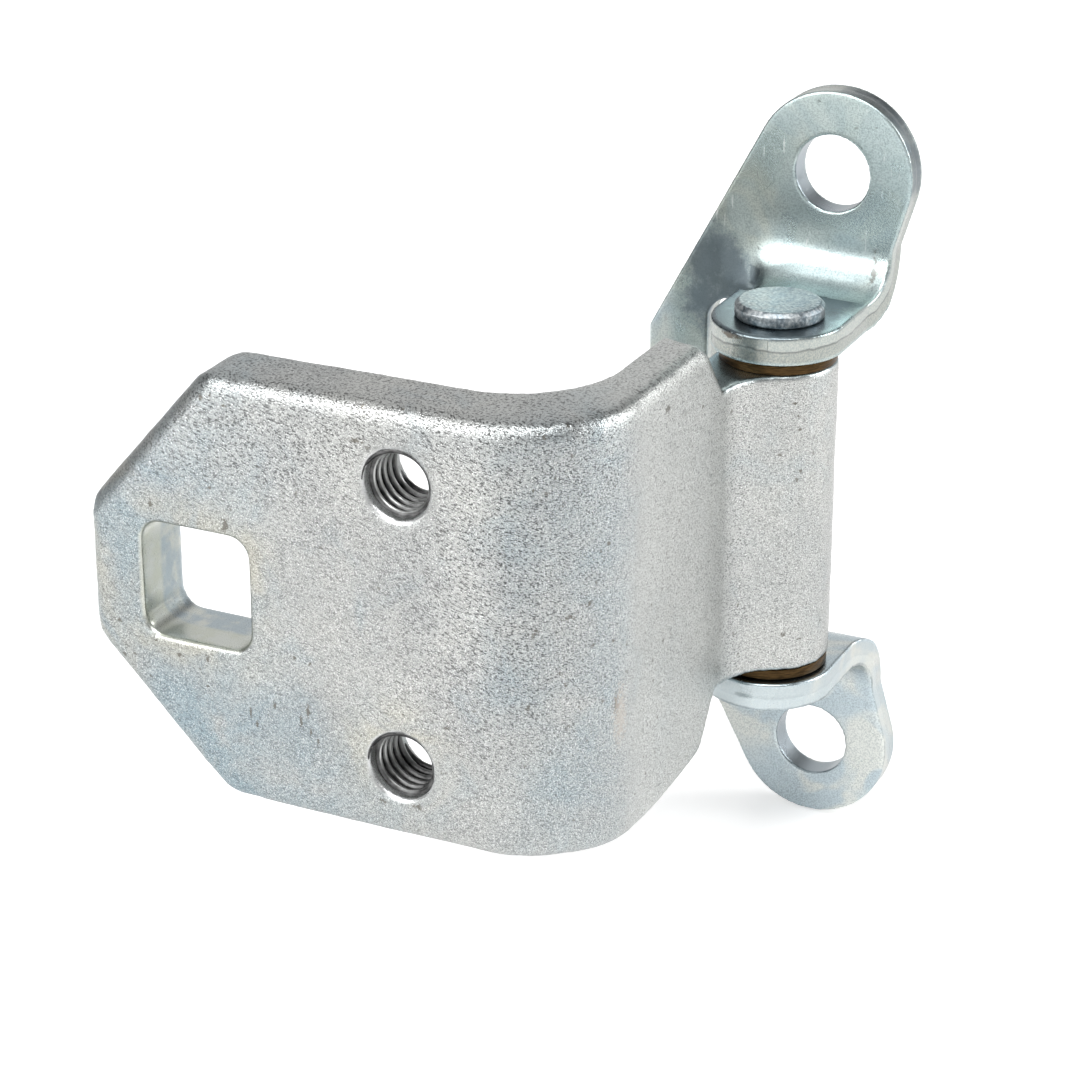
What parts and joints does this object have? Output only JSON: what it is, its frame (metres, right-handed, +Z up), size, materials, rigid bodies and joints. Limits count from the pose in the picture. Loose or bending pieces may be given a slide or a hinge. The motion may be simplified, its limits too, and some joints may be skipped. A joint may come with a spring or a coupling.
{
  "type": "car door hinge",
  "caption": "Car door hinge: a plated forged leaf with a right-angle bend, tapped holes and a square hole turns on a headed pin in a stamped pillar bracket.",
  "frame": {"origin": "midway between the bracket's two bolt holes, on the bracket's mounting face", "axes": "+Y out of the mounting face into the pillar, +Z up along the pin towards its head, +X away from the leaf's free edge"},
  "size_m": [0.0748, 0.0676, 0.095],
  "materials": {
    "plated_forging": "zinc plated over a grainy forged skin",
    "plated_sheet": "bright zinc plated sheet, faintly blue",
    "plated_pin": "zinc plated, turned",
    "bronze": "plain bearing bronze"
  },
  "bodies": {
    "bracket": {"stamped_bracket": "plated_sheet", "hinge_pin": "plated_pin"},
    "leaf": {"forged_leaf": "plated_forging", "upper_bush": "bronze", "lower_bush": "bronze"}
  },
  "joints": [
    {"name": "leaf_swing", "type": "hinge", "parent": "bracket", "child": "leaf", "pos_m": [-0.001, -0.0166, 0], "axis": [0, 0, 1], "range_deg": [-20, 90]}
  ]
}
